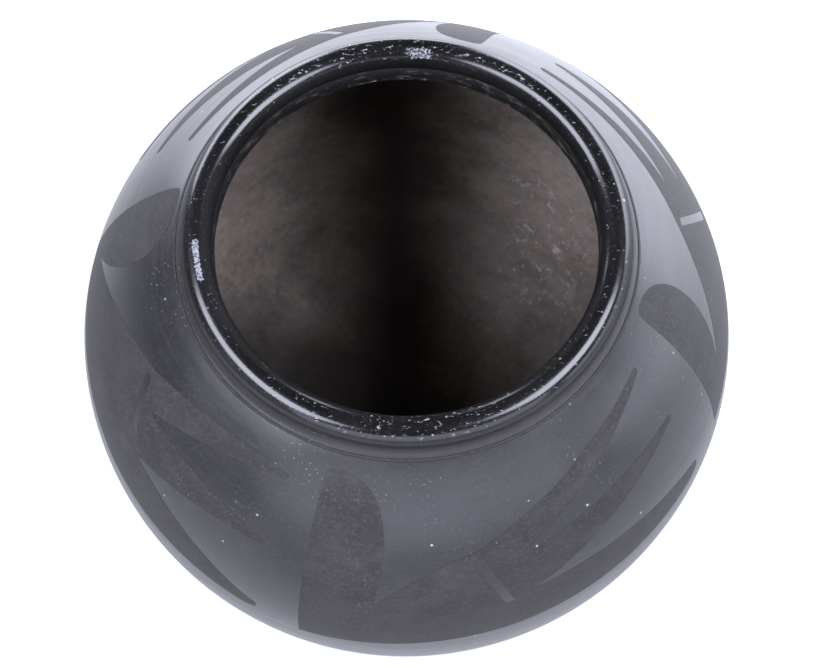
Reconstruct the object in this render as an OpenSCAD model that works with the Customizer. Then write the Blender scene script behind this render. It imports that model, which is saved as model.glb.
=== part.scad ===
// Pueblo pottery jar, coil built and fired black: a rounded base formed in a puki (a shallow
// dish that turns under the work), rings of clay coil scraped into a thin wall, a thick neck
// coil, a rolled lip, a burnished slip over the outside and feathers painted in matte slip.
// The origin is the middle of the resting face, +Z is up, and -Y is the front.

/* [Body] */
// Widest diameter of the finished jar
belly_d = 200; // [180:1:230]
// Height of the widest part above the resting face
belly_h = 88; // [82:1:94]
// How far the centre of the shoulder's arc lies out from the axis
shoulder_out = 17.9; // [12:0.1:24]
// How far the centre of the lower body's arc lies past the axis
flank_past = 1.9; // [0:0.1:8]
// Thickness of the scraped wall
wall_t = 5.5; // [4:0.1:7.5]
// Thickness of the floor inside the jar
floor_t = 7; // [5:0.1:10]
// Radius of the turn from the lower body to the resting face
base_round = 8; // [5:0.5:12]
// Radius of the turn from the wall to the floor inside
floor_round = 14; // [9:0.5:20]
// Diameter of the shallow hollow under the base
hollow_d = 76; // [50:1:84]
// Depth of the shallow hollow under the base
hollow_depth = 1.5; // [0.5:0.1:3]

/* [Neck and lip] */
// Clear width of the mouth inside the rolled lip
mouth_d = 112; // [100:0.2:122]
// Thickness of the rolled lip
lip_t = 9; // [7:0.1:11]
// How far the lip's centre stands above the shoulder's arc
lip_lift = 0.2; // [0:0.1:2]
// Thickness of the neck coil under the lip
neck_coil_t = 12; // [10:0.1:14]
// How far the neck coil reaches into the mouth past the lip
throat_step = 0.4; // [0.2:0.1:2]
// Drop from the lip's centre to the neck coil's centre
neck_drop = 6; // [5:0.1:7]
// Radius of the hollow between the shoulder and the lip
neck_hollow = 4; // [2.5:0.1:6]

/* [Coils] */
// Height of the base that is pressed in the puki
puki_h = 33; // [26:1:45]
// Number of coils from the puki base to the widest part
lower_coils = 4; // [3:1:6]
// Number of coils from the widest part to the neck coil
upper_coils = 5; // [3:1:7]
// How far the outer end of each coil joint lies above its inner end
scarf = 4; // [1:0.5:6]

/* [Slip and paint] */
// Thickness of the burnished slip
slip_t = 0.4; // [0.2:0.05:0.8]
// Thickness of the matte painted slip
paint_t = 0.2; // [0.1:0.05:0.4]
// Angle round the base's turn where the burnished slip stops
slip_stop = 60; // [40:1:70]
// Width of the line painted round the top of the shoulder
line_w = 1; // [0.6:0.1:2]
// Gap between the line and the hollow of the neck
line_gap = 0.3; // [0.2:0.1:3]

/* [Painted feathers] */
// Width of the rounded head of each feather group, in degrees round the jar
head_w = 13.8; // [10:0.2:16]
// Width of the bare bar at the root of the feathers, in degrees round the jar
bar_w = 1.8; // [1:0.1:3]
// Width of the upper two feather tips, as a percentage of the shoulder's height
tip_w = 2.4; // [1:0.1:4]
// Width of the lowest feather tip, as a percentage of the shoulder's height
low_tip_w = 8; // [4:0.5:10]

/* [Hidden] */
$fn = 180;
FEATHERS = ["front", "right", "back", "left"];
COILS = lower_coils + upper_coils;

CLAY = [0.27, 0.24, 0.22];
CLAY_LIGHT = [0.33, 0.30, 0.27];
BURNISHED = [0.10, 0.10, 0.11];
MATTE = [0.22, 0.22, 0.23];
REACH = 2;  // how far a cutting outline runs past the wall that it cuts
PROUD = 0.01;  // how far a turn stands proud of its arc, so that the two cross at a clear angle
BIG = belly_d;

// The outline in a half plane: [distance from the axis, height]. The shoulder is an arc above
// the widest part and the lower body an arc below it, and both are level with each other there.
belly_r = belly_d / 2;
shoulder_c = [shoulder_out, belly_h];
shoulder_r = belly_r - shoulder_out;
flank_c = [-flank_past, belly_h];
flank_r = belly_r + flank_past;
in_depth = slip_t + wall_t;

// Where two circles cross, on the side to the right of the way from the first to the second.
function meet(c1, r1, c2, r2, side = 1) =
    let (
        d = norm(c2 - c1),
        u = (c2 - c1) / d,
        along = (r1 * r1 - r2 * r2 + d * d) / (2 * d),
        off = sqrt(r1 * r1 - along * along)
    )
    c1 + along * u + side * off * [u.y, -u.x];

// Direction of a point as seen from a centre, in degrees.
function bearing(from, to) = atan2(to.y - from.y, to.x - from.x);

// The lip is a roll whose centre stands just above the shoulder's arc.
lip_r = lip_t / 2;
lip_c = let (r = mouth_d / 2 + lip_r)
    [r, belly_h + sqrt(pow(shoulder_r, 2) - pow(r - shoulder_out, 2)) + lip_lift];
jar_h = lip_c.y + lip_r;

// The neck coil sits under the lip and reaches a little further into the mouth.
neck_r = neck_coil_t / 2;
neck_c = [mouth_d / 2 - throat_step + neck_r, lip_c.y - neck_drop];
neck_hollow_c = meet(shoulder_c, shoulder_r + neck_hollow, lip_c, lip_r + neck_hollow);
neck_foot = meet(shoulder_c, shoulder_r - in_depth, neck_c, neck_r);
shoulder_end = bearing(shoulder_c, neck_hollow_c);
wall_top = shoulder_c + (shoulder_r - slip_t) * [cos(shoulder_end), sin(shoulder_end)];
lip_seat_out = let (a = bearing(lip_c, neck_hollow_c)) lip_c + (lip_r - slip_t) * [cos(a), sin(a)];
lip_seat_in = meet(lip_c, lip_r - slip_t, neck_c, neck_r);

// Where the turn of the base or of the floor begins, for an arc of radius r about flank_c.
function turn_c(r, z, turn) =
    [-flank_past + sqrt(pow(r - turn, 2) - pow(belly_h - z - turn, 2)), z + turn];
base_turn_c = turn_c(flank_r - slip_t, 0, base_round);

// A point of the wall at an angle up from the widest part, a depth in from the finished face.
function wall_pt(angle, depth = 0) =
    let (c = angle < 0 ? flank_c : shoulder_c, r = angle < 0 ? flank_r : shoulder_r)
    c + (r - depth) * [cos(angle), sin(angle)];

// The joints between coils are slanted, so that each coil laps over the one below it inside.
puki_angle = asin((puki_h - belly_h) / flank_r);
function joint_angle(i) =
    i < lower_coils ? puki_angle * (1 - i / lower_coils)
                    : shoulder_end * (i - lower_coils) / upper_coils;
function joint_line(i) =
    i == COILS ? [neck_foot + (neck_foot - wall_top) / 3, wall_top + (wall_top - neck_foot) / 3]
    : let (half = scarf / 2 * (1 + 2 * REACH / wall_t) / belly_r * 180 / PI)
      [wall_pt(joint_angle(i) - half, in_depth + REACH), wall_pt(joint_angle(i) + half, slip_t - REACH)];

// The part of a ring about a centre that lies in the sector between the given corner points.
module arc_band(c, r_in, r_out, corners) {
    intersection() {
        translate(c) difference() {
            circle(r_out);
            circle(r_in);
        }
        polygon(concat([c], corners));
    }
}

// A skin over the lower body or over the shoulder, between two depths from the finished face.
// Both end at the widest part.
module flank_band(outer, inner, low) {
    arc_band(flank_c, flank_r - inner, flank_r - outer, [low, [BIG, low.y], [BIG, belly_h]]);
}
module shoulder_band(outer, inner, high) {
    arc_band(shoulder_c, shoulder_r - inner, shoulder_r - outer, [[BIG, belly_h], [BIG, high.y], high]);
}

// A round bowl standing at height z: an arc about flank_c that runs on above the widest part, a
// turn at the bottom and a level floor.
module bowl(r, z, turn) {
    c = turn_c(r, z, turn);
    tangent = flank_c + (c - flank_c) * r / (r - turn);
    intersection() {
        translate(flank_c) circle(r);
        translate([0, tangent.y]) square([BIG, belly_h - tangent.y + REACH]);
    }
    translate([0, z]) square([c.x, turn]);
    intersection() {
        translate(c) circle(turn + PROUD);
        translate([0, z]) square([BIG, BIG]);
    }
}

// The scraped wall without its base, from just above the floor to the neck.
module wall_section() {
    flank_band(slip_t, in_depth, flank_c - [0, BIG]);
    shoulder_band(slip_t, in_depth, shoulder_c + [0, BIG]);
}

module puki_base() {
    top = joint_line(0);
    hollow_r = (pow(hollow_d / 2, 2) + pow(hollow_depth, 2)) / (2 * hollow_depth);
    color(CLAY) rotate_extrude() intersection() {
        difference() {
            bowl(flank_r - slip_t, 0, base_round);
            bowl(flank_r - in_depth, floor_t, floor_round);
            translate([0, hollow_depth - hollow_r]) circle(hollow_r);
        }
        polygon([[0, 0], [BIG, 0], [BIG, top[1].y], top[1], top[0], [0, top[0].y]]);
    }
}

module wall_coil(i) {
    low = joint_line(i - 1);
    high = joint_line(i);
    color(i % 2 == 0 ? CLAY : CLAY_LIGHT) rotate_extrude() intersection() {
        wall_section();
        polygon([low[0], low[1], high[1], high[0]]);
    }
}

module neck_coil() {
    color(CLAY) rotate_extrude() intersection() {
        difference() {
            union() {
                translate(neck_c) circle(neck_r);
                polygon([neck_foot, wall_top, neck_hollow_c, lip_seat_out, lip_seat_in, neck_c]);
            }
            translate(neck_hollow_c) circle(neck_hollow + slip_t);
        }
        polygon([
            neck_foot + (neck_foot - wall_top) / 3,
            wall_top,
            neck_hollow_c,
            lip_seat_out,
            lip_seat_in,
            lip_seat_in - [neck_r, 0],
            neck_c - [2 * neck_r, 2 * neck_r]
        ]);
    }
}

module rim_coil() {
    seat = lip_seat_in - lip_seat_out;
    color(CLAY) rotate_extrude() intersection() {
        translate(lip_c) circle(lip_r - slip_t);
        polygon([
            lip_seat_out - seat,
            lip_seat_out - seat + [0, 3 * lip_r],
            lip_seat_in + seat + [0, 3 * lip_r],
            lip_seat_in + seat
        ]);
    }
}

module burnished_slip() {
    stop = base_turn_c + 3 * base_round * [cos(slip_stop), -sin(slip_stop)];
    lip_stop = lip_c + 3 * (lip_seat_in - lip_c);
    color(BURNISHED) rotate_extrude() {
        intersection() {
            difference() {
                bowl(flank_r, -slip_t, base_round + slip_t);
                bowl(flank_r - slip_t, 0, base_round);
            }
            polygon([base_turn_c, stop, [BIG, stop.y], [BIG, belly_h], [0, belly_h]]);
        }
        shoulder_band(0, slip_t, neck_hollow_c);
        arc_band(neck_hollow_c, neck_hollow, neck_hollow + slip_t, [lip_c, shoulder_c]);
        arc_band(lip_c, lip_r - slip_t, lip_r, [
            neck_hollow_c,
            lip_c + [3 * lip_r, 3 * lip_r],
            [lip_stop.x, lip_c.y + 3 * lip_r],
            lip_stop
        ]);
    }
}

// The painted line stands just below the hollow of the neck.
line_top = shoulder_end - line_gap / shoulder_r * 180 / PI;
line_bottom = line_top - line_w / shoulder_r * 180 / PI;

module framing_line() {
    color(MATTE) rotate_extrude()
        arc_band(shoulder_c, shoulder_r, shoulder_r + paint_t,
                 [wall_pt(line_bottom, -REACH), wall_pt(line_top, -REACH)], $fn = 8 * $fn);
}

// Each feather group as it is painted by hand, in degrees round the jar from its left edge and
// as a percentage of the height from the widest part (0) to the line round the shoulder (100):
// [place of the left edge, lean of its top, top of the head, notch beside the head, top and foot
// of the bare bar, the two splits, the three tips, height of the hem at its left and right end].
function group(side) =
    side == "front" ? [-18.8, 0.5, 94, [13, 32], [32, 55], [37, 24], [39, 49], [41.5, 28],
                       [79.5, 87], [78.5, 58.5], [78.5, 17], -4, 11]
    : side == "right" ? [70, 1.5, 97, [7, 36], [30, 72], [36.3, 41], [38, 73], [40, 57.5],
                         [76, 91], [75.5, 76], [76, 50], 16, 44]
    : side == "back" ? [160, 1.5, 93.5, [7, 54], [35, 81], [39.5, 62], [44, 79], [46, 60],
                        [80, 88.5], [82.5, 68.5], [80, 45], 30, 36]
    : [-102, -4, 99, [5.2, 45], [37.5, 73], [42, 48], [43, 64], [45, 40],
       [76, 84], [75, 51], [73.5, 5], 30, 1];

// A curve from p to q whose middle is raised by lift, without its last point.
function bow(p, q, lift, steps = 6) =
    let (m = (p + q) / 2 + [0, 2 * lift])
    [for (i = [0:steps - 1]) let (k = i / steps) (1 - k) * (1 - k) * p + 2 * k * (1 - k) * m + k * k * q];

// A cubic curve through its four handles, without its last point.
function cubic(p, steps = 8) =
    [for (i = [0:steps - 1]) let (k = i / steps, j = 1 - k)
        j * j * j * p[0] + 3 * j * j * k * p[1] + 3 * j * k * k * p[2] + k * k * k * p[3]];

// The outline of a group: up its left edge, over the head, down to the notch, along the upper
// feather, round the three tips and the splits between them, and back along the hem.
function outline(g) =
    let (
        up = [0, tip_w / 2],
        low = [0, low_tip_w / 2],
        lean = g[1],
        top = g[2],
        notch = g[3],
        crown = [lean + 2, top]
    )
    concat(
        bow([0, g[11]], [lean, top - 4], 0),
        [[lean + 0.4, top - 1.2]],
        cubic([crown, [head_w + 3, top + 1], [head_w + 1.7, (top + notch.y) / 2], notch]),
        bow(notch, g[4] + [0, 4], 5),
        bow(g[4] + [0, 4], g[8] + up, 5),
        [g[8] + up, g[8] + [0.6, 0], g[8] - up],
        bow(g[8] - up, g[6], 4),
        bow(g[6], g[9] + up, 3),
        [g[9] + up, g[9] + [0.6, 0], g[9] - up],
        bow(g[9] - up, g[7], 3),
        bow(g[7], g[10] + low, 4),
        [g[10] + low, g[10] + [1.8, 2], g[10] + [1.8, -2], [g[10].x, g[12]]],
        bow([g[10].x, g[12]], [0, g[11]], -1)
    );

// A point of the pattern as seen from straight outside the group: [across, height].
function seen(p, middle) =
    let (q = wall_pt(p.y / 100 * line_bottom))
    [q.x * sin(p.x - middle), q.y];

module feathers(side) {
    g = group(side);
    middle = g[8].x / 2;
    half_bar = [bar_w / 2, 0];
    color(MATTE) intersection() {
        rotate_extrude() {
            flank_band(-paint_t, 0, flank_c + [BIG, -BIG / 3]);
            shoulder_band(-paint_t, 0, neck_hollow_c);
        }
        rotate(g[0] + middle - 90) rotate([90, 0, 90]) linear_extrude(BIG) difference() {
            polygon([for (p = outline(g)) seen(p, middle)]);
            polygon([
                for (p = [g[4] - half_bar, g[4] + half_bar, g[5] + half_bar, g[5] - half_bar])
                    seen(p, middle)
            ]);
        }
    }
}

puki_base();
for (i = [1:COILS]) wall_coil(i);
neck_coil();
rim_coil();
burnished_slip();
framing_line();
for (side = FEATHERS) feathers(side);
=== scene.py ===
import math

import bpy
import numpy as np
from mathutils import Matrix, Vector
from mathutils.geometry import delaunay_2d_cdt


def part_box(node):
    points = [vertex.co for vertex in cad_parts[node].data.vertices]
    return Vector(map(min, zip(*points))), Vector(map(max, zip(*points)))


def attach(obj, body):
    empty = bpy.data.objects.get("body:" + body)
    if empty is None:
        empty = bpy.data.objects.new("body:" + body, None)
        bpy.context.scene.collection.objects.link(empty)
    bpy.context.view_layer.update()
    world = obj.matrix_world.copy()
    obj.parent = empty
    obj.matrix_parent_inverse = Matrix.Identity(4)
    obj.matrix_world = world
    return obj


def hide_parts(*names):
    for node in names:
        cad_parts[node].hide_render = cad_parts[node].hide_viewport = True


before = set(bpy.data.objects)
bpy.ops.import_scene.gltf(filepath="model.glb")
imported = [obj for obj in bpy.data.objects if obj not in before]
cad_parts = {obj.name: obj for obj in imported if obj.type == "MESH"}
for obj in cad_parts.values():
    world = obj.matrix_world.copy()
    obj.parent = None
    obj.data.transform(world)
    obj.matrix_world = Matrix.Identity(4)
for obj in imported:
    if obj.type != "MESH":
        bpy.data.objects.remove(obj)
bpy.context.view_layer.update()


# The view.
# The photograph looks down on the jar from in front with a short telephoto lens, and the middle
# of the picture falls on the jar's axis at the height of its widest part.
BELLY_Z = 0.088
CAMERA_ELEVATION = math.radians(66.52)
CAMERA_DISTANCE = 0.8
LENS_MM = 113.5
SENSOR_MM = 36.0

camera = bpy.data.objects.new("camera", bpy.data.cameras.new("camera"))
bpy.context.collection.objects.link(camera)
towards_camera = Vector((0.0, -math.cos(CAMERA_ELEVATION), math.sin(CAMERA_ELEVATION)))
camera.location = Vector((0.0, 0.0, BELLY_Z)) + CAMERA_DISTANCE * towards_camera
camera.rotation_mode = "QUATERNION"
camera.rotation_quaternion = (-towards_camera).to_track_quat("-Z", "Y")
camera.data.lens = LENS_MM
camera.data.sensor_width = SENSOR_MM
camera.data.clip_start = 0.01
bpy.context.scene.camera = camera
bpy.context.scene.view_settings.view_transform = "Standard"


# The studio.
# A pale table that stays white all round, two strong soft boxes high at the left and the right of
# the jar, which light the opposite inner walls through the mouth, and cards low down that show in
# the polish: bright ones behind, weaker ones in front and at the right, and a weak one at the left.
class Socket:
    """A shader socket that takes part in sums: + - and * add a Math node to the tree."""

    def __init__(self, tree, link):
        self.tree = tree
        self.link = link

    def node(self, kind, settings=None, out=0, **inputs):
        """Adds a node of a type, makes its settings, then gives its sockets values or links."""
        made = self.tree.nodes.new(kind)
        for key, value in (settings or {}).items():
            setattr(made, key, value)
        for key, value in inputs.items():
            name = int(key[1:]) if key[0] == "i" and key[1:].isdigit() else key.replace("_", " ")
            if isinstance(value, Socket):
                self.tree.links.new(value.link, made.inputs[name])
            else:
                made.inputs[name].default_value = value
        return Socket(self.tree, made.outputs[out])

    def maths(self, operation, a, b=0.0):
        return self.node("ShaderNodeMath", {"operation": operation}, i0=a, i1=b)

    def __add__(self, other):
        return self.maths("ADD", self, other)

    def __sub__(self, other):
        return self.maths("SUBTRACT", self, other)

    def __rsub__(self, other):
        return self.maths("SUBTRACT", other, self)

    def __mul__(self, other):
        return self.maths("MULTIPLY", self, other)

    __radd__ = __add__
    __rmul__ = __mul__

    def axis(self, k):
        """One part of a position: 0 to the right, 1 to the back, 2 upwards."""
        return self.node("ShaderNodeSeparateXYZ", out=k, Vector=self)

    def off_axis(self):
        """How far a position is from the jar's axis."""
        flat = self.node("ShaderNodeVectorMath", {"operation": "MULTIPLY"}, i0=self, i1=(1.0, 1.0, 0.0))
        return self.node("ShaderNodeVectorMath", {"operation": "LENGTH"}, out=1, i0=flat)

    def away(self):
        """Its distance from 0, without the sign."""
        return self.maths("ABSOLUTE", self)

    def smooth(self, low, high):
        """0 below low, 1 above high, and an S-shaped step between."""
        return self.node("ShaderNodeMapRange", {"interpolation_type": "SMOOTHSTEP"},
                         Value=self, From_Min=low, From_Max=high)

    def between(self, rise, rise_end, fall, fall_end):
        """1 in a band of values and 0 outside it, with an S-shaped step at each side."""
        return self.smooth(rise, rise_end) * (1.0 - self.smooth(fall, fall_end))

    def noise(self, scale, detail=2.0, stretch=(1.0, 1.0, 1.0), shift=(0.0, 0.0, 0.0), roughness=0.5):
        """Cloudy noise around 0.5 at a scale per metre, stretched along the axes."""
        place = self.node("ShaderNodeMapping", Vector=self, Scale=stretch, Location=shift)
        return self.node("ShaderNodeTexNoise", Vector=place, Scale=scale, Detail=detail,
                         Roughness=roughness)

    def specks(self, scale, size, shift=(0.0, 0.0, 0.0)):
        """1 on small round spots scattered over the surface, 0 between them."""
        place = self.node("ShaderNodeMapping", Vector=self, Location=shift)
        cell = self.node("ShaderNodeTexVoronoi", Vector=place, Scale=scale, Randomness=1.0)
        return 1.0 - cell.smooth(0.5 * size, size)

    def dust(self):
        """Very fine specks that lie in patches."""
        return self.specks(700.0, 0.16) * self.noise(52.0, 4.0, shift=(1.0, 0.0, 0.0)).smooth(0.5, 0.68)

    def blend(self, first, second):
        """The first colour where this mask is 0 and the second where it is 1."""
        mixer = self.tree.nodes.new("ShaderNodeMix")
        mixer.data_type = "RGBA"
        self.tree.links.new(self.link, mixer.inputs[0])
        for socket, value in ((mixer.inputs[6], first), (mixer.inputs[7], second)):
            if isinstance(value, Socket):
                self.tree.links.new(value.link, socket)
            else:
                socket.default_value = (*value, 1.0)
        return Socket(self.tree, mixer.outputs[2])


def new_material(name, **sockets):
    """A Principled material with fixed socket values. Returns it, its shader and its Object coordinates."""
    material = bpy.data.materials.new(name)
    material.use_nodes = True
    shader = material.node_tree.nodes["Principled BSDF"]
    for key, value in sockets.items():
        shader.inputs[key.replace("_", " ")].default_value = value
    start = Socket(material.node_tree, None)
    return material, shader, start.node("ShaderNodeTexCoord", out=3)


def feed(shader, name, source):
    """Links a worked-out value or colour to one of the shader's sockets."""
    source.tree.links.new(source.link, shader.inputs[name])


TABLE_SIZE = 6.0
TABLE_GREY = 0.28
COOL_WHITE = (0.82, 0.845, 1.0)
LIGHTS_AIM_Z = 0.12
# Watts that give one square metre of a soft box's face a radiance of one.
WATTS_PER_RADIANCE = 4

table_white, shader, place = new_material("table_white", Roughness=0.9, Specular_IOR_Level=0.1,
                                          Emission_Strength=1.0)
shader.inputs["Base Color"].default_value = (TABLE_GREY, TABLE_GREY, TABLE_GREY, 1.0)
across, along = place.axis(0), place.axis(1)
lit_side = (across + 0.6 * along.away()).smooth(-0.42, -0.15)
far_back = (across * 0.3 + along * 0.95).smooth(0.0, 0.62)
glow = 0.04 + lit_side * (0.56 + 4.4 * far_back)
cool_glow = glow.node("ShaderNodeCombineXYZ", i0=glow * 0.9, i1=glow * 0.93, i2=glow * 1.04)
feed(shader, "Emission Color", cool_glow)
half = TABLE_SIZE / 2
corners = [(-half, -half, 0), (half, -half, 0), (half, half, 0), (-half, half, 0)]
table_mesh = bpy.data.meshes.new("table")
table_mesh.from_pydata(corners, [], [(0, 1, 2, 3)])
table_mesh.materials.append(table_white)
table = bpy.data.objects.new("table", table_mesh)
bpy.context.collection.objects.link(table)


def soft_box(name, azimuth, elevation, distance, width, height, radiance):
    """A rectangular light on a sphere round the jar, facing it, that the camera doesn't see. Azimuth
    0 is in front and 90 to the right. Radiance says how bright its face is, whatever its size."""
    a, e = math.radians(azimuth), math.radians(elevation)
    out = Vector((math.sin(a) * math.cos(e), -math.cos(a) * math.cos(e), math.sin(e)))
    data = bpy.data.lights.new(name, "AREA")
    data.shape = "RECTANGLE"
    data.size = width
    data.size_y = height
    data.energy = radiance * WATTS_PER_RADIANCE * width * height
    data.color = COOL_WHITE
    light = bpy.data.objects.new(name, data)
    bpy.context.collection.objects.link(light)
    light.location = Vector((0.0, 0.0, LIGHTS_AIM_Z)) + distance * out
    light.rotation_mode = "QUATERNION"
    light.rotation_quaternion = (-out).to_track_quat("-Z", "Y")
    light.visible_camera = False


soft_box("left_box", -70, 48, 1.4, 1.3, 0.75, 11.5)
soft_box("right_box", 78, 53, 1.4, 1.0, 0.7, 12.0)
soft_box("left_card", -59, 9, 1.5, 1.0, 0.5, 0.9)
soft_box("right_back_card", 138, 12, 1.8, 2.0, 0.9, 7.0)
soft_box("left_back_card", -147, 9, 1.8, 1.3, 0.8, 8.0)
soft_box("right_card", 85, 8, 1.6, 1.4, 0.6, 3.5)
soft_box("front_card", 6, 17, 1.5, 3.2, 1.0, 3.0)
world = bpy.data.worlds.new("studio_air")
world.use_nodes = True
world.node_tree.nodes["Background"].inputs["Color"].default_value = (1.0, 1.0, 1.0, 1.0)
world.node_tree.nodes["Background"].inputs["Strength"].default_value = 0.03
bpy.context.scene.world = world


# The burnished slip.
# A thin coat of fine clay brushed over the scraped jar and rubbed with a smooth stone until it
# shines, from just above the resting face, through the hollow of the neck and over the lip.
BELLY_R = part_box("burnished_slip")[1].x
SHOULDER_OUT = 0.0179
FLANK_PAST = 0.0019
SLIP_T = 0.0004
BASE_ROUND = 0.008
SLIP_STOP = math.radians(60)
LIP_R = 0.0045
LIP_LIFT = 0.0002
MOUTH_R = 0.056
NECK_HOLLOW = 0.004
NECK_COIL_R = 0.006
THROAT_STEP = 0.0004
NECK_DROP = 0.006
SLIP_SIDES = 400

shoulder_c = np.array([SHOULDER_OUT, BELLY_Z])
shoulder_r = BELLY_R - SHOULDER_OUT
flank_c = np.array([-FLANK_PAST, BELLY_Z])
flank_r = BELLY_R + FLANK_PAST
lip_c = np.array([MOUTH_R + LIP_R, 0.0])
lip_c[1] = BELLY_Z + math.sqrt(shoulder_r ** 2 - (lip_c[0] - SHOULDER_OUT) ** 2) + LIP_LIFT
neck_c = np.array([MOUTH_R - THROAT_STEP + NECK_COIL_R, lip_c[1] - NECK_DROP])


def meet(c1, r1, c2, r2):
    """Where two circles cross, to the right of the way from the first centre to the second."""
    way = c2 - c1
    d = np.hypot(*way)
    u = way / d
    along_way = (r1 * r1 - r2 * r2 + d * d) / (2 * d)
    off = math.sqrt(r1 * r1 - along_way * along_way)
    return c1 + along_way * u + off * np.array([u[1], -u[0]])


def bearing(start, end):
    """Direction from one point of the half plane to another, in radians."""
    return math.atan2(end[1] - start[1], end[0] - start[0])


def arc(centre, radius, start, end, count):
    """Points on a circle from one angle to another, the last left out."""
    a = np.linspace(start, end, count, endpoint=False)[:, None]
    return centre + radius * np.hstack([np.cos(a), np.sin(a)])


def on_circle(centre, radius, angle):
    """The point of a circle at an angle."""
    return centre + radius * np.array([math.cos(angle), math.sin(angle)])


def on_flank(radius, z):
    """The point at a height on a circle about the centre of the lower body's arc."""
    return np.array([flank_c[0] + math.sqrt(radius ** 2 - (BELLY_Z - z) ** 2), z])


hollow_c = meet(shoulder_c, shoulder_r + NECK_HOLLOW, lip_c, LIP_R + NECK_HOLLOW)
shoulder_end = bearing(shoulder_c, hollow_c)
turn_c = on_flank(flank_r - SLIP_T - BASE_ROUND, BASE_ROUND)
turn_angle = bearing(flank_c, turn_c)
lip_start = bearing(lip_c, hollow_c)
crease = meet(lip_c, LIP_R - SLIP_T, neck_c, NECK_COIL_R)
lip_end = bearing(lip_c, crease) + 2 * math.pi


def slip_line(depth, counts):
    """The slip's outline at a depth under its face: base turn, lower body, shoulder, neck, lip."""
    n_turn, n_flank, n_shoulder, n_hollow, n_lip = counts
    return np.vstack([
        arc(turn_c, BASE_ROUND + SLIP_T - depth, -SLIP_STOP, turn_angle, n_turn),
        arc(flank_c, flank_r - depth, turn_angle, 0.0, n_flank),
        arc(shoulder_c, shoulder_r - depth, 0.0, shoulder_end, n_shoulder),
        arc(hollow_c, NECK_HOLLOW + depth, shoulder_end + math.pi, lip_start + math.pi, n_hollow),
        arc(lip_c, LIP_R - depth, lip_start, lip_end, n_lip),
        [on_circle(lip_c, LIP_R - depth, lip_end)],
    ])


def hand_made(azimuth, r, z):
    """How far a hand-shaped wall falls short of a true circle: slow waves of up to 0.35 mm round
    the jar and up its side, fading out towards the resting face."""
    waves = (np.sin(2 * azimuth + 0.7 + 9 * z) + 0.6 * np.sin(3 * azimuth - 1.9 + 21 * z)
             + 0.35 * np.sin(5 * azimuth + 2.4 - 33 * z) + 0.2 * np.sin(9 * azimuth + 0.3 + 75 * z))
    return 0.00008 * (2.15 + waves) * np.clip(z / 0.02, 0, 1)


def turned(name, outline, sides, closed, unevenness=hand_made, joints=()):
    """A piece turned about the axis: each point (r, z) of the outline goes round in a circle, and
    the circle is drawn in by the unevenness. A closed outline makes a ring; an open one starts and
    ends on the axis, where its end points become one vertex each. The joints are the steps of the
    outline that meet the next piece: they stay flat, so that the faces beside them shade smoothly."""
    rz = np.asarray(outline, dtype=float)
    azimuth = np.linspace(0, 2 * np.pi, sides, endpoint=False)
    body = rz if closed else rz[1:-1]
    z = np.broadcast_to(body[:, 1:2], (len(body), sides))
    r = body[:, 0:1] - unevenness(azimuth[None, :], body[:, 0:1], z)
    points = np.stack([r * np.sin(azimuth), -r * np.cos(azimuth), z], axis=-1).reshape(-1, 3)
    rows = len(body)
    i = np.arange(rows if closed else rows - 1)[:, None]
    j = np.arange(sides)[None, :]
    after, beside = (i + 1) % rows, (j + 1) % sides
    quads = np.stack([i * sides + j, i * sides + beside, after * sides + beside, after * sides + j], -1)
    faces = quads.reshape(-1, 4).tolist()
    smooth = ~np.isin(np.repeat(i.ravel(), sides), [k % rows for k in joints])
    if not closed:
        first, last = len(points), len(points) + 1
        points = np.vstack([points, [[0, 0, rz[0, 1]], [0, 0, rz[-1, 1]]]])
        ring = np.arange(sides)
        faces += np.stack([np.full(sides, first), (ring + 1) % sides, ring], -1).tolist()
        top = (rows - 1) * sides + ring
        faces += np.stack([np.full(sides, last), top, (rows - 1) * sides + (ring + 1) % sides], -1).tolist()
        smooth = np.concatenate([smooth, np.ones(2 * sides, dtype=bool)])
    return finished(name, points, faces, smooth)


def finished(name, points, faces, smooth):
    """Puts points and faces into a mesh object at the origin. Faces shade smoothly where smooth is
    true; the others are flat, and the edges round them are sharp."""
    mesh = bpy.data.meshes.new(name)
    mesh.from_pydata(points.tolist(), [], faces)
    mesh.polygons.foreach_set("use_smooth", smooth)
    corners = np.repeat(~smooth, [len(face) for face in faces])
    edge_of = np.empty(len(mesh.loops), dtype=np.int32)
    mesh.loops.foreach_get("edge_index", edge_of)
    mesh.edges.foreach_set("use_edge_sharp", np.isin(np.arange(len(mesh.edges)), edge_of[corners]))
    mesh.update()
    piece = bpy.data.objects.new(name, mesh)
    bpy.context.collection.objects.link(piece)
    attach(piece, "root")
    return piece


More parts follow.
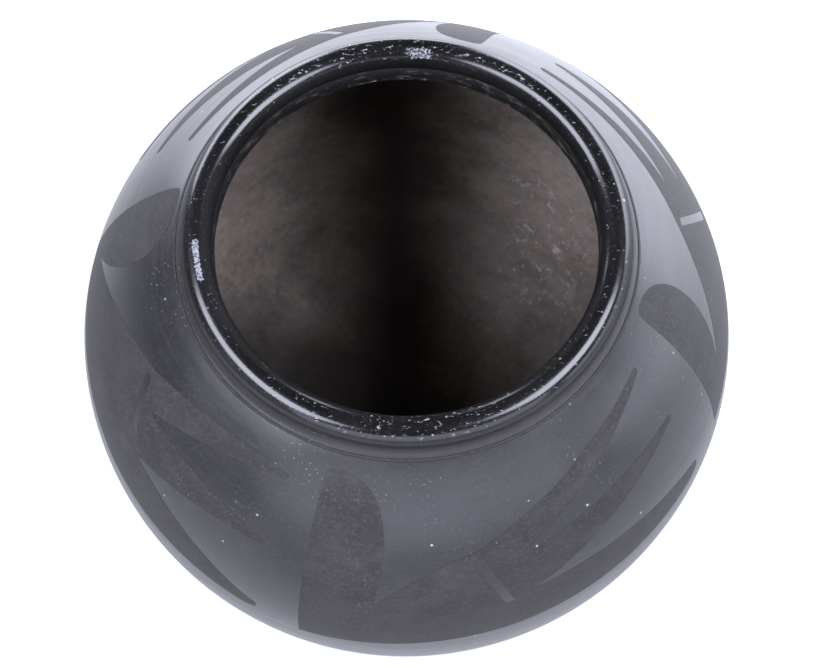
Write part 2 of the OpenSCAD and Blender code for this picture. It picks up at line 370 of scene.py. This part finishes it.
def burnished_black():
    """Near-black fired slip. The stone's marks run round the jar as fine streaks of gloss; the top
    of the lip shines most, its inner and outer sides are dull with soot, and the hollow under it,
    which the stone can't reach, is dull and brown. Dust, thin scratches and scuff marks sit on it,
    and the lip is worn pale in a strip at the left and a small patch at the back. Pale colour also
    paints highlights: in the left strip, and as a band of scuff specks along the back of the crest."""
    material, shader, place = new_material("burnished_black", IOR=1.5)
    across, ahead, up, out = place.axis(0), place.axis(1), place.axis(2), place.off_axis()

    # Where things are, in metres: the lip is a ring from 0.056 to 0.065 out, and its top is 0.163 up.
    lip = up.smooth(0.14, 0.15) * (1.0 - (1.0 - up.smooth(0.158, 0.1605)) * out.smooth(0.0605, 0.0615))
    crest = up.smooth(0.1605, 0.1615)
    hollow = up.smooth(0.1536, 0.1545) * (1.0 - lip)
    beside = across.away().smooth(0.01, 0.045)
    near = (1.0 - ahead.smooth(-0.03, 0.0)) * beside
    far_left = 1.0 - across.smooth(-0.058, -0.044)

    # The marks of the polishing stone, the clouds of smoke, and the dust.
    streaks = place.noise(110.0, 4.0, stretch=(0.4, 0.4, 7.0), roughness=0.6)
    clouds = place.noise(24.0, 4.0, roughness=0.6)
    grain = place.noise(1100.0, 3.0, roughness=0.7)
    dust = place.dust() * (1.0 - lip * 0.75)
    chips = place.specks(170.0, 0.09, shift=(0.02, 0.01, 0.0)) * place.noise(31.0, 2.0).smooth(0.5, 0.6)

    # Scuffs on the lip, most where hands and ladles met it at the front and the back, and a painted
    # highlight: a band of pale specks along the inner crest at the back.
    handled = (1.0 - across.away().smooth(0.005, 0.05)) * 0.05
    patchy = 0.3 + 0.7 * place.noise(60.0, 2.0, shift=(0.0, 0.4, 0.0)).smooth(0.35, 0.65)
    scuffed_highlight_ridge = (out - 0.001).smooth(0.0575, 0.0582) * (1.0 - out.smooth(0.0598, 0.0606))
    scuffed_highlight_ridge = scuffed_highlight_ridge * ahead.smooth(0.03, 0.05) * 0.06
    scratched = place.noise(1300.0, 3.0, stretch=(0.45, 1.0, 1.0), roughness=0.7)
    scuffs_and_highlight = crest * (scratched + handled * patchy + scuffed_highlight_ridge).smooth(0.635, 0.75)

    # The worn strip at the left, partly a painted highlight, and the knocked patch at the back.
    rubbed = out.between(0.0585, 0.0597, 0.0609, 0.0622) * (1.0 - across.smooth(-0.05, -0.045))
    rubbed = rubbed * ahead.between(-0.0185, -0.0155, -0.004, -0.001)
    knocked = (1.0 - out.smooth(0.0592, 0.0602)) * ahead.smooth(0.05, 0.055) * crest * 0.93
    knocked = knocked * across.between(-0.007, 0.002, 0.006, 0.013)
    bare = place.noise(1500.0, 4.0, roughness=0.75)
    worn_lip_and_highlight = (rubbed + knocked + bare * 1.6).smooth(1.62, 1.85)

    black = clouds.smooth(0.3, 0.7).blend((0.003, 0.003, 0.003), (0.011, 0.0105, 0.011))
    black = (grain.smooth(0.5, 0.75) * 0.55).blend(black, (0.03, 0.03, 0.031))
    black = (hollow * 0.25).blend(black, (0.014, 0.011, 0.009))
    black = (lip * 0.5).blend(black, (0.003, 0.003, 0.003))
    marked = (dust * 0.4 + chips * 0.7).blend(black, (0.36, 0.35, 0.34))
    # Pale scuff colour, with a painted highlight band of specks at the back of the crest.
    marked = (scuffs_and_highlight * 0.8).blend(marked, (0.3, 0.3, 0.31))
    # Pale worn colour: wear, and in the left strip a painted highlight.
    feed(shader, "Base Color", worn_lip_and_highlight.blend(marked, (0.2, 0.2, 0.215)))
    body = 0.34 + (streaks - 0.5) * 0.22 + (clouds - 0.5) * 0.12 + (grain - 0.5) * 0.08
    gloss = body - lip * 0.15 + hollow * 0.12
    feed(shader, "Roughness", gloss + (dust + chips + scuffs_and_highlight + worn_lip_and_highlight) * 0.3)
    marks = streaks * 0.7 + grain * 0.3 - chips * 0.5 + scuffs_and_highlight * 0.5
    feed(shader, "Normal", place.node("ShaderNodeBump", Strength=0.12, Distance=0.0002, Height=marks))

    # Soot dulls the lip's inner side, and its outer side towards the back.
    inner_side = lip * (1.0 - (out - near * 0.0017 - far_left * 0.0018).smooth(0.0567, 0.0578))
    outer_side = out.smooth(0.0624, 0.0642) * up.smooth(0.153, 0.157)
    outer_side = outer_side * (0.35 + ahead.smooth(-0.05, -0.01) * 0.65) * 0.8
    sooty = marked.node("ShaderNodeBsdfPrincipled", Base_Color=marked, Roughness=0.6, IOR=1.5,
                        Specular_IOR_Level=0.05)
    dull = (inner_side + outer_side) * (1.0 - worn_lip_and_highlight)
    both = dull.node("ShaderNodeMixShader", i0=dull, i1=Socket(place.tree, shader.outputs[0]), i2=sooty)
    feed(place.tree.nodes["Material Output"], "Surface", both)
    return material


outer = slip_line(0.0, (5, 60, 64, 10, 36))
inner = slip_line(SLIP_T * 0.9, (4, 20, 24, 6, 20))
slip = turned("burnished_slip", np.vstack([outer, inner[::-1]]), SLIP_SIDES, closed=True)
slip.data.materials.append(burnished_black())
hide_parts("burnished_slip")


# The fired clay: the base pressed in the puki, the wall coils, the neck coil and the lip.
# Coarse clay with ground tuff in it, fired in smoke. Inside it was only scraped and wiped, so it
# shows grey-brown with pale grit; the outside lies under the slip.
WALL_T = 0.0055
FLOOR_T = 0.007
FLOOR_ROUND = 0.014
HOLLOW_R = 0.038
HOLLOW_DEPTH = 0.0015
PUKI_H = 0.033
LOWER_COILS = 4
UPPER_COILS = 5
SCARF = 0.004
UNDER_SLIP = 0.00002
WALL_SIDES = 288
NECK_SIDES = 360

in_depth = SLIP_T + WALL_T
out_depth = SLIP_T + UNDER_SLIP
puki_angle = math.asin((PUKI_H - BELLY_Z) / flank_r)
wall_top = on_circle(shoulder_c, shoulder_r - out_depth, shoulder_end)
neck_foot = meet(shoulder_c, shoulder_r - in_depth, neck_c, NECK_COIL_R)


def joint_angle(i):
    """Angle of joint i up the wall, from the puki base (0) to the neck coil."""
    if i < LOWER_COILS:
        return puki_angle * (1 - i / LOWER_COILS)
    return shoulder_end * (i - LOWER_COILS) / UPPER_COILS


def joint_ends(i):
    """Angles where joint i leaves the inner and the outer face: the outer end lies higher."""
    if i == LOWER_COILS + UPPER_COILS:
        return bearing(shoulder_c, neck_foot), shoulder_end
    half_lap = SCARF / 2 / BELLY_R
    return joint_angle(i) - half_lap, joint_angle(i) + half_lap


def wall_line(start, end, depth, count):
    """Points up the wall at a depth, about the lower centre below the widest part, else the upper."""
    a = np.linspace(start, end, count)[:, None]
    low = a < 0
    centre = np.where(low, flank_c, shoulder_c)
    radius = np.where(low, flank_r, shoulder_r) - depth
    return centre + radius * np.hstack([np.cos(a), np.sin(a)])


def scraped(azimuth, r, z):
    """The hand-made waves, plus shallow hollows of up to 0.27 mm on the inside where fingers and
    a gourd scraper ran round the wall. They fade out on the outer face, which stays true."""
    height = np.clip(z, 0, None)
    ideal = np.where(z < BELLY_Z,
                     flank_c[0] + np.sqrt(np.clip(flank_r ** 2 - (BELLY_Z - height) ** 2, 0, None)),
                     shoulder_c[0] + np.sqrt(np.clip(shoulder_r ** 2 - (height - BELLY_Z) ** 2, 0, None)))
    inside = np.clip((ideal - r - 0.003) / 0.002, 0, 1) * np.clip((0.148 - z) / 0.01, 0, 1)
    strokes = (np.sin(11 * azimuth + 260 * z) * np.sin(4 * azimuth - 150 * z + 1.0)
               + 0.5 * np.sin(420 * z + 2 * np.sin(3 * azimuth)))
    return hand_made(azimuth, r, z) - 0.00009 * (1.5 + strokes) * inside * np.clip(z / 0.02, 0, 1)


def smoked_clay():
    """Grey-brown smoked clay with cloudy smoke marks, wiping streaks and pale grit. The floor and a
    band up the front and the back are coloured near black, a painted shade where the lights don't
    reach, and a pale bloom has dried on low down at the right. The neck was blackened along with
    the lip, and tan clay shows where small chips are gone from its lower edge."""
    material, shader, place = new_material("smoked_clay", IOR=1.45, Specular_IOR_Level=0.2)
    across, ahead, up = place.axis(0), place.axis(1), place.axis(2)
    smoke = place.noise(18.0, 5.0, stretch=(1.0, 1.0, 1.6), roughness=0.6)
    wiped = place.noise(90.0, 5.0, stretch=(0.8, 0.8, 1.7), shift=(0.2, 0.5, 0.1), roughness=0.65)
    mottled = place.noise(420.0, 4.0, shift=(0.3, 0.0, 0.0), roughness=0.7)

    # The pale bloom, fainter traces of it elsewhere, and the grit.
    bloom = across.between(0.026, 0.042, 0.05, 0.066) * (1.0 - up.smooth(0.045, 0.07))
    bloom = bloom * ahead.smooth(0.03, 0.055)
    traces = place.noise(21.0, 2.0, shift=(0.6, 0.2, 0.35)).smooth(0.5, 0.7)
    crust = place.noise(260.0, 4.0, stretch=(1.0, 1.0, 1.6), roughness=0.7).smooth(0.55, 0.68)
    crust = crust * (bloom * 1.6 + traces * 0.5)
    grit = place.specks(420.0, 0.17) * place.noise(60.0, 3.0).smooth(0.45, 0.6)

    # Painted shade: near black on the floor, most at its left, and in a band up the front and the back.
    middle = (across + 0.004).away() + (smoke - 0.5) * 0.03
    floor_painted_shade = (1.0 - up.smooth(0.01, 0.042)) * (1.0 - ahead.smooth(0.024, 0.055))
    floor_painted_shade = floor_painted_shade * (0.92 - across.smooth(-0.02, 0.03) * 0.5)
    painted_shade = floor_painted_shade.maths("MAXIMUM", floor_painted_shade, 1.0 - middle.smooth(0.0, 0.05))

    # The blackened neck, scraped in places, and the chips along its lower edge.
    neck = (up + (wiped - 0.5) * 0.004).smooth(0.1395, 0.1415)
    scraped_neck = place.noise(420.0, 4.0, stretch=(0.5, 0.5, 2.0), roughness=0.7).smooth(0.52, 0.68)
    low_edge = neck * (1.0 - up.smooth(0.1505, 0.1525))
    flakes = place.noise(480.0, 4.0, shift=(0.5, 0.1, 0.0), roughness=0.65)
    chips = low_edge * flakes.smooth(0.56, 0.67)

    shade = smoke * 0.5 + wiped * 0.25 + mottled * 0.25
    clay = shade.smooth(0.37, 0.63).blend((0.125, 0.105, 0.09), (0.27, 0.229, 0.197))
    clay = (crust * 0.5).blend(clay, (0.46, 0.42, 0.38))
    clay = (grit * 0.45).blend(clay, (0.45, 0.4, 0.36))
    # Painted shade: the floor and the middle band are coloured near black.
    clay = (painted_shade * 0.92).blend(clay, (0.012, 0.01, 0.007))
    clay = neck.blend(clay, (scraped_neck * 0.7).blend((0.005, 0.005, 0.005), (0.06, 0.054, 0.048)))
    feed(shader, "Base Color", (chips * 0.8).blend(clay, (0.36, 0.29, 0.22)))
    feed(shader, "Roughness", 0.62 + (wiped - 0.5) * 0.2 - neck * 0.1)
    grain = place.noise(800.0, 3.0) * 0.5 + wiped * 0.5 + grit * 0.3
    feed(shader, "Normal", place.node("ShaderNodeBump", Strength=0.35, Distance=0.0004, Height=grain))
    return material


clay = smoked_clay()


def clay_piece(name, outline, sides, closed, joints):
    """A turned piece of clay in the shared material, standing for the CAD node of its name."""
    piece = turned(name, outline, sides, closed, scraped, joints)
    piece.data.materials.append(clay)
    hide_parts(name)
    return piece


base_in, base_out = joint_ends(0)
floor_c = on_flank(flank_r - in_depth - FLOOR_ROUND, FLOOR_T + FLOOR_ROUND)
dome_r = (HOLLOW_R ** 2 + HOLLOW_DEPTH ** 2) / (2 * HOLLOW_DEPTH)
dome_half = math.asin(HOLLOW_R / dome_r)
base_line = np.vstack([
    arc(np.array([0.0, HOLLOW_DEPTH - dome_r]), dome_r, math.pi / 2, math.pi / 2 - dome_half, 14),
    [[HOLLOW_R, 0.0], [(HOLLOW_R + turn_c[0]) / 2, 0.0]],
    arc(turn_c, BASE_ROUND - UNDER_SLIP, -math.pi / 2, turn_angle, 14),
    wall_line(turn_angle, base_out, out_depth, 24),
    wall_line(base_in, bearing(flank_c, floor_c), in_depth, 24),
    arc(floor_c, FLOOR_ROUND, bearing(flank_c, floor_c), -math.pi / 2, 14),
    np.linspace([floor_c[0], FLOOR_T], [0.0, FLOOR_T], 12),
])
# Its one joint is the step from the outer face, the 54th point, to the inner one; the first point,
# on the axis, doesn't count.
clay_piece("puki_base", base_line, WALL_SIDES, closed=False, joints=[52])

for i in range(1, LOWER_COILS + UPPER_COILS + 1):
    low_in, low_out = joint_ends(i - 1)
    high_in, high_out = joint_ends(i)
    coil_line = np.vstack([
        wall_line(low_out, high_out, out_depth, 12),
        wall_line(high_in, low_in, in_depth, 16),
    ])
    clay_piece(f"wall_coil_{i}", coil_line, WALL_SIDES, closed=True, joints=[11, -1])

seat_out = on_circle(lip_c, LIP_R - out_depth, lip_start)
neck_line = np.vstack([
    [wall_top],
    arc(hollow_c, NECK_HOLLOW + out_depth, shoulder_end + math.pi, lip_start + math.pi, 8),
    [seat_out],
    np.linspace(seat_out, crease, 5)[1:-1],
    arc(neck_c, NECK_COIL_R, bearing(neck_c, crease), bearing(neck_c, neck_foot) + 2 * math.pi, 28),
    np.linspace(neck_foot, wall_top, 5)[:-1],
])
clay_piece("neck_coil", neck_line, NECK_SIDES, closed=True, joints=[9, 10, 11, 12, -1, -2, -3, -4])

rim_line = np.vstack([
    arc(lip_c, LIP_R - out_depth, lip_start, lip_end, 28),
    np.linspace(crease, seat_out, 6)[:-1],
])
clay_piece("rim_coil", rim_line, NECK_SIDES, closed=True, joints=[28, 29, 30, 31, -1])


# The painted feathers and the line above them.
# A thinner slip of matte clay, painted on the polish after it was rubbed. It keeps a dull face in
# the firing, so the feathers show as grey against the shine.
PAINT_T = 0.00004
LINE_W = 0.001
LINE_GAP = 0.0003
FILM_FOOT = 0.000002
LINE_FOOT = 0.00001
# These are in degrees round the jar and in per cent of the height from the widest part to the line.
HEAD_W = 13.8
BAR_W = 1.8
TIP_W = 2.4
LOW_TIP_W = 8.0
GRID_ACROSS = 0.9
GRID_UP = 1.4
CLEAR_OF_EDGE = 0.6

line_top = shoulder_end - LINE_GAP / shoulder_r
line_bottom = line_top - LINE_W / shoulder_r

# Degrees round the jar from the group's left edge, and per cent of the height up to the line.
FEATHERS = {
    "front": dict(edge=-18.8, lean=0.5, top=94, notch=(13, 32), bar=((32, 55), (37, 24)),
                  splits=((39, 49), (41.5, 28)), tips=((79.5, 87), (78.5, 58.5), (78.5, 17)), hem=(-4, 11)),
    "right": dict(edge=70, lean=1.5, top=97, notch=(7, 36), bar=((30, 72), (36.3, 41)),
                  splits=((38, 73), (40, 57.5)), tips=((76, 91), (75.5, 76), (76, 50)), hem=(16, 44)),
    "back": dict(edge=160, lean=1.5, top=93.5, notch=(7, 54), bar=((35, 81), (39.5, 62)),
                 splits=((44, 79), (46, 60)), tips=((80, 88.5), (82.5, 68.5), (80, 45)), hem=(30, 36)),
    "left": dict(edge=-102, lean=-4, top=99, notch=(5.2, 45), bar=((37.5, 73), (42, 48)),
                 splits=((43, 64), (45, 40)), tips=((76, 84), (75, 51), (73.5, 5)), hem=(30, 1)),
}


def bow(p, q, lift, count=40):
    """A quadratic curve from p to q whose middle is raised by lift, without its last point."""
    p, q = np.array(p, float), np.array(q, float)
    m = (p + q) / 2 + [0, 2 * lift]
    k = np.linspace(0, 1, count, endpoint=False)[:, None]
    return (1 - k) ** 2 * p + 2 * k * (1 - k) * m + k ** 2 * q


def cubic(handles, count=40):
    """A cubic curve through four handles, without its last point."""
    p = np.array(handles, float)
    k = np.linspace(0, 1, count, endpoint=False)[:, None]
    return (1 - k) ** 3 * p[0] + 3 * (1 - k) ** 2 * k * p[1] + 3 * (1 - k) * k ** 2 * p[2] + k ** 3 * p[3]


def evenly(loop, step=0.7):
    """The same closed loop with points set at even steps along it."""
    ends = np.vstack([loop, loop[:1]])
    run = np.concatenate([[0], np.cumsum(np.hypot(*np.diff(ends, axis=0).T))])
    keep = np.concatenate([[True], np.diff(run) > 1e-9])
    at = np.linspace(0, run[-1], max(8, int(run[-1] / step)), endpoint=False)
    return np.stack([np.interp(at, run[keep], ends[keep, k]) for k in (0, 1)], -1)


def feather_outline(g):
    """The painted edge: up the left side, over the head to the notch, along the upper feather,
    round three tips and the splits between them, and back along the hem."""
    up, low = np.array([0, TIP_W / 2]), np.array([0, LOW_TIP_W / 2])
    tip1, tip2, tip3 = (np.array(t, float) for t in g["tips"])
    split1, split2 = g["splits"]
    notch, shoulder = g["notch"], np.array(g["bar"][0], float) + [0, 4]
    crown = (g["lean"] + 2, g["top"])
    return np.vstack([
        bow((0, g["hem"][0]), (g["lean"], g["top"] - 4), 0),
        [(g["lean"] + 0.4, g["top"] - 1.2)],
        cubic([crown, (HEAD_W + 3, g["top"] + 1), (HEAD_W + 1.7, (g["top"] + notch[1]) / 2), notch]),
        bow(notch, shoulder, 5),
        bow(shoulder, tip1 + up, 5),
        [tip1 + up, tip1 + [0.6, 0], tip1 - up],
        bow(tip1 - up, split1, 4),
        bow(split1, tip2 + up, 3),
        [tip2 + up, tip2 + [0.6, 0], tip2 - up],
        bow(tip2 - up, split2, 3),
        bow(split2, tip3 + low, 4),
        [tip3 + low, tip3 + [1.8, 2], tip3 + [1.8, -2], (tip3[0], g["hem"][1])],
        bow((tip3[0], g["hem"][1]), (0, g["hem"][0]), -1),
    ])


def inside(points, outline):
    """True where a point lies inside a closed outline: a ray from it crosses the edge an odd
    number of times."""
    x, y = points[:, 0:1], points[:, 1:2]
    ax, ay = outline[:, 0], outline[:, 1]
    bx, by = np.roll(ax, -1), np.roll(ay, -1)
    crosses = (ay > y) != (by > y)
    slope = (x - ax) * (by - ay) - (bx - ax) * (y - ay)
    return (crosses & ((slope < 0) == (by < ay))).sum(axis=1) % 2 == 1


def on_slip(pattern, height):
    """Points of the pattern laid on the polished face, a height above it."""
    azimuth = np.radians(pattern[:, 0])
    rise = pattern[:, 1] / 100 * line_bottom
    low = rise < 0
    centre = np.where(low[:, None], flank_c, shoulder_c)
    radius = np.where(low, flank_r, shoulder_r)
    r = centre[:, 0] + radius * np.cos(rise)
    z = centre[:, 1] + radius * np.sin(rise)
    r = r - hand_made(azimuth, r, z) + height * np.cos(rise)
    return np.stack([r * np.sin(azimuth), -r * np.cos(azimuth), z + height * np.sin(rise)], -1)


def film(name, edge, hole):
    """A thin painted film: the area inside the edge and outside the hole, filled with triangles,
    laid on the slip as an upper and a lower skin, and closed by a wall along its edges. The wall
    stands on every side of a triangle that no other triangle has the other way round."""
    edge, hole = evenly(edge), evenly(hole)
    low, high = edge.min(axis=0), edge.max(axis=0)
    u, v = np.meshgrid(np.arange(low[0], high[0], GRID_ACROSS), np.arange(low[1], high[1], GRID_UP))
    odd_row = np.arange(u.size) // u.shape[1] % 2
    grid = np.stack([u.ravel() + GRID_ACROSS / 2 * odd_row, v.ravel()], -1)
    keep = inside(grid, edge) & ~inside(grid, hole)
    for loop in (edge, hole):
        gap = np.hypot(*(grid[:, None, :] - loop[None, :, :]).transpose(2, 0, 1)).min(axis=1)
        keep &= gap > CLEAR_OF_EDGE
    points = np.vstack([edge, hole, grid[keep]])
    round_edge, round_hole = np.arange(len(edge)), np.arange(len(hole)) + len(edge)
    lines = np.vstack([np.stack([way, np.roll(way, -1)], -1) for way in (round_edge, round_hole)])
    verts, _, tris, *_ = delaunay_2d_cdt([Vector(p) for p in points], lines.tolist(), [], 0, 1e-7)
    flat = np.array([(p.x, p.y) for p in verts])
    tris = np.array([t[:3] for t in tris])
    middle = flat[tris].mean(axis=1)
    a, b, c = flat[tris[:, 0]], flat[tris[:, 1]], flat[tris[:, 2]]
    turn = (b[:, 0] - a[:, 0]) * (c[:, 1] - a[:, 1]) - (b[:, 1] - a[:, 1]) * (c[:, 0] - a[:, 0])
    good = inside(middle, edge) & ~inside(middle, hole) & (np.abs(turn) > 1e-3)
    tris = np.where(turn[:, None] > 0, tris, tris[:, ::-1])[good]
    sides = np.concatenate([tris[:, [0, 1]], tris[:, [1, 2]], tris[:, [2, 0]]])
    n = len(flat)
    rim = sides[~np.isin(sides @ [1, n], sides @ [n, 1])]
    faces = tris.tolist() + (tris[:, ::-1] + n).tolist()
    faces += np.stack([rim[:, 1], rim[:, 0], rim[:, 0] + n, rim[:, 1] + n], -1).tolist()
    smooth = np.arange(len(faces)) < 2 * len(tris)
    skins = np.vstack([on_slip(flat, PAINT_T), on_slip(flat, FILM_FOOT)])
    piece = finished(name, skins, faces, smooth)
    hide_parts(name)
    return piece


def matte_grey():
    """Matte painted slip: dull warm black, brushed on unevenly, with rubbed spots and dust."""
    material, shader, place = new_material("matte_grey", IOR=1.45, Specular_IOR_Level=0.2)
    brushed = place.noise(60.0, 5.0, stretch=(1.0, 1.0, 2.0), roughness=0.65)
    rubbed = place.noise(120.0, 4.0, shift=(0.4, 0.3, 0.9)).smooth(0.55, 0.75)
    grain = place.noise(900.0, 3.0, roughness=0.7)
    dust = place.dust()
    paint = brushed.smooth(0.3, 0.7).blend((0.0172, 0.0163, 0.0158), (0.0265, 0.0254, 0.0247))
    paint = (rubbed * 0.35).blend(paint, (0.045, 0.044, 0.042))
    paint = (grain.smooth(0.45, 0.75) * 0.5).blend(paint, (0.05, 0.049, 0.047))
    feed(shader, "Base Color", (dust * 0.4).blend(paint, (0.26, 0.24, 0.21)))
    feed(shader, "Roughness", 0.6 + (brushed - 0.5) * 0.16 + rubbed * 0.05)
    marks = place.noise(1500.0, 2.0) + rubbed * 0.4
    feed(shader, "Normal", place.node("ShaderNodeBump", Strength=0.25, Distance=0.0002, Height=marks))
    return material


paint = matte_grey()
for side, g in FEATHERS.items():
    start = np.array([g["edge"], 0])
    half_bar = np.array([BAR_W / 2, 0])
    top, foot = (np.array(end) + start for end in g["bar"])
    bar = np.vstack([
        bow(top - half_bar, foot - half_bar, 0),
        bow(foot - half_bar, foot + half_bar, 0, 3),
        bow(foot + half_bar, top + half_bar, 0),
        bow(top + half_bar, top - half_bar, 0, 3),
    ])
    film(f"feathers_{side}", feather_outline(g) + start, bar).data.materials.append(paint)

line_shape = np.vstack([
    arc(shoulder_c, shoulder_r + PAINT_T, line_bottom, line_top, 3),
    arc(shoulder_c, shoulder_r + LINE_FOOT, line_top, line_bottom, 3),
])
line = turned("framing_line", line_shape, SLIP_SIDES, closed=True)
line.data.materials.append(paint)
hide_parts("framing_line")
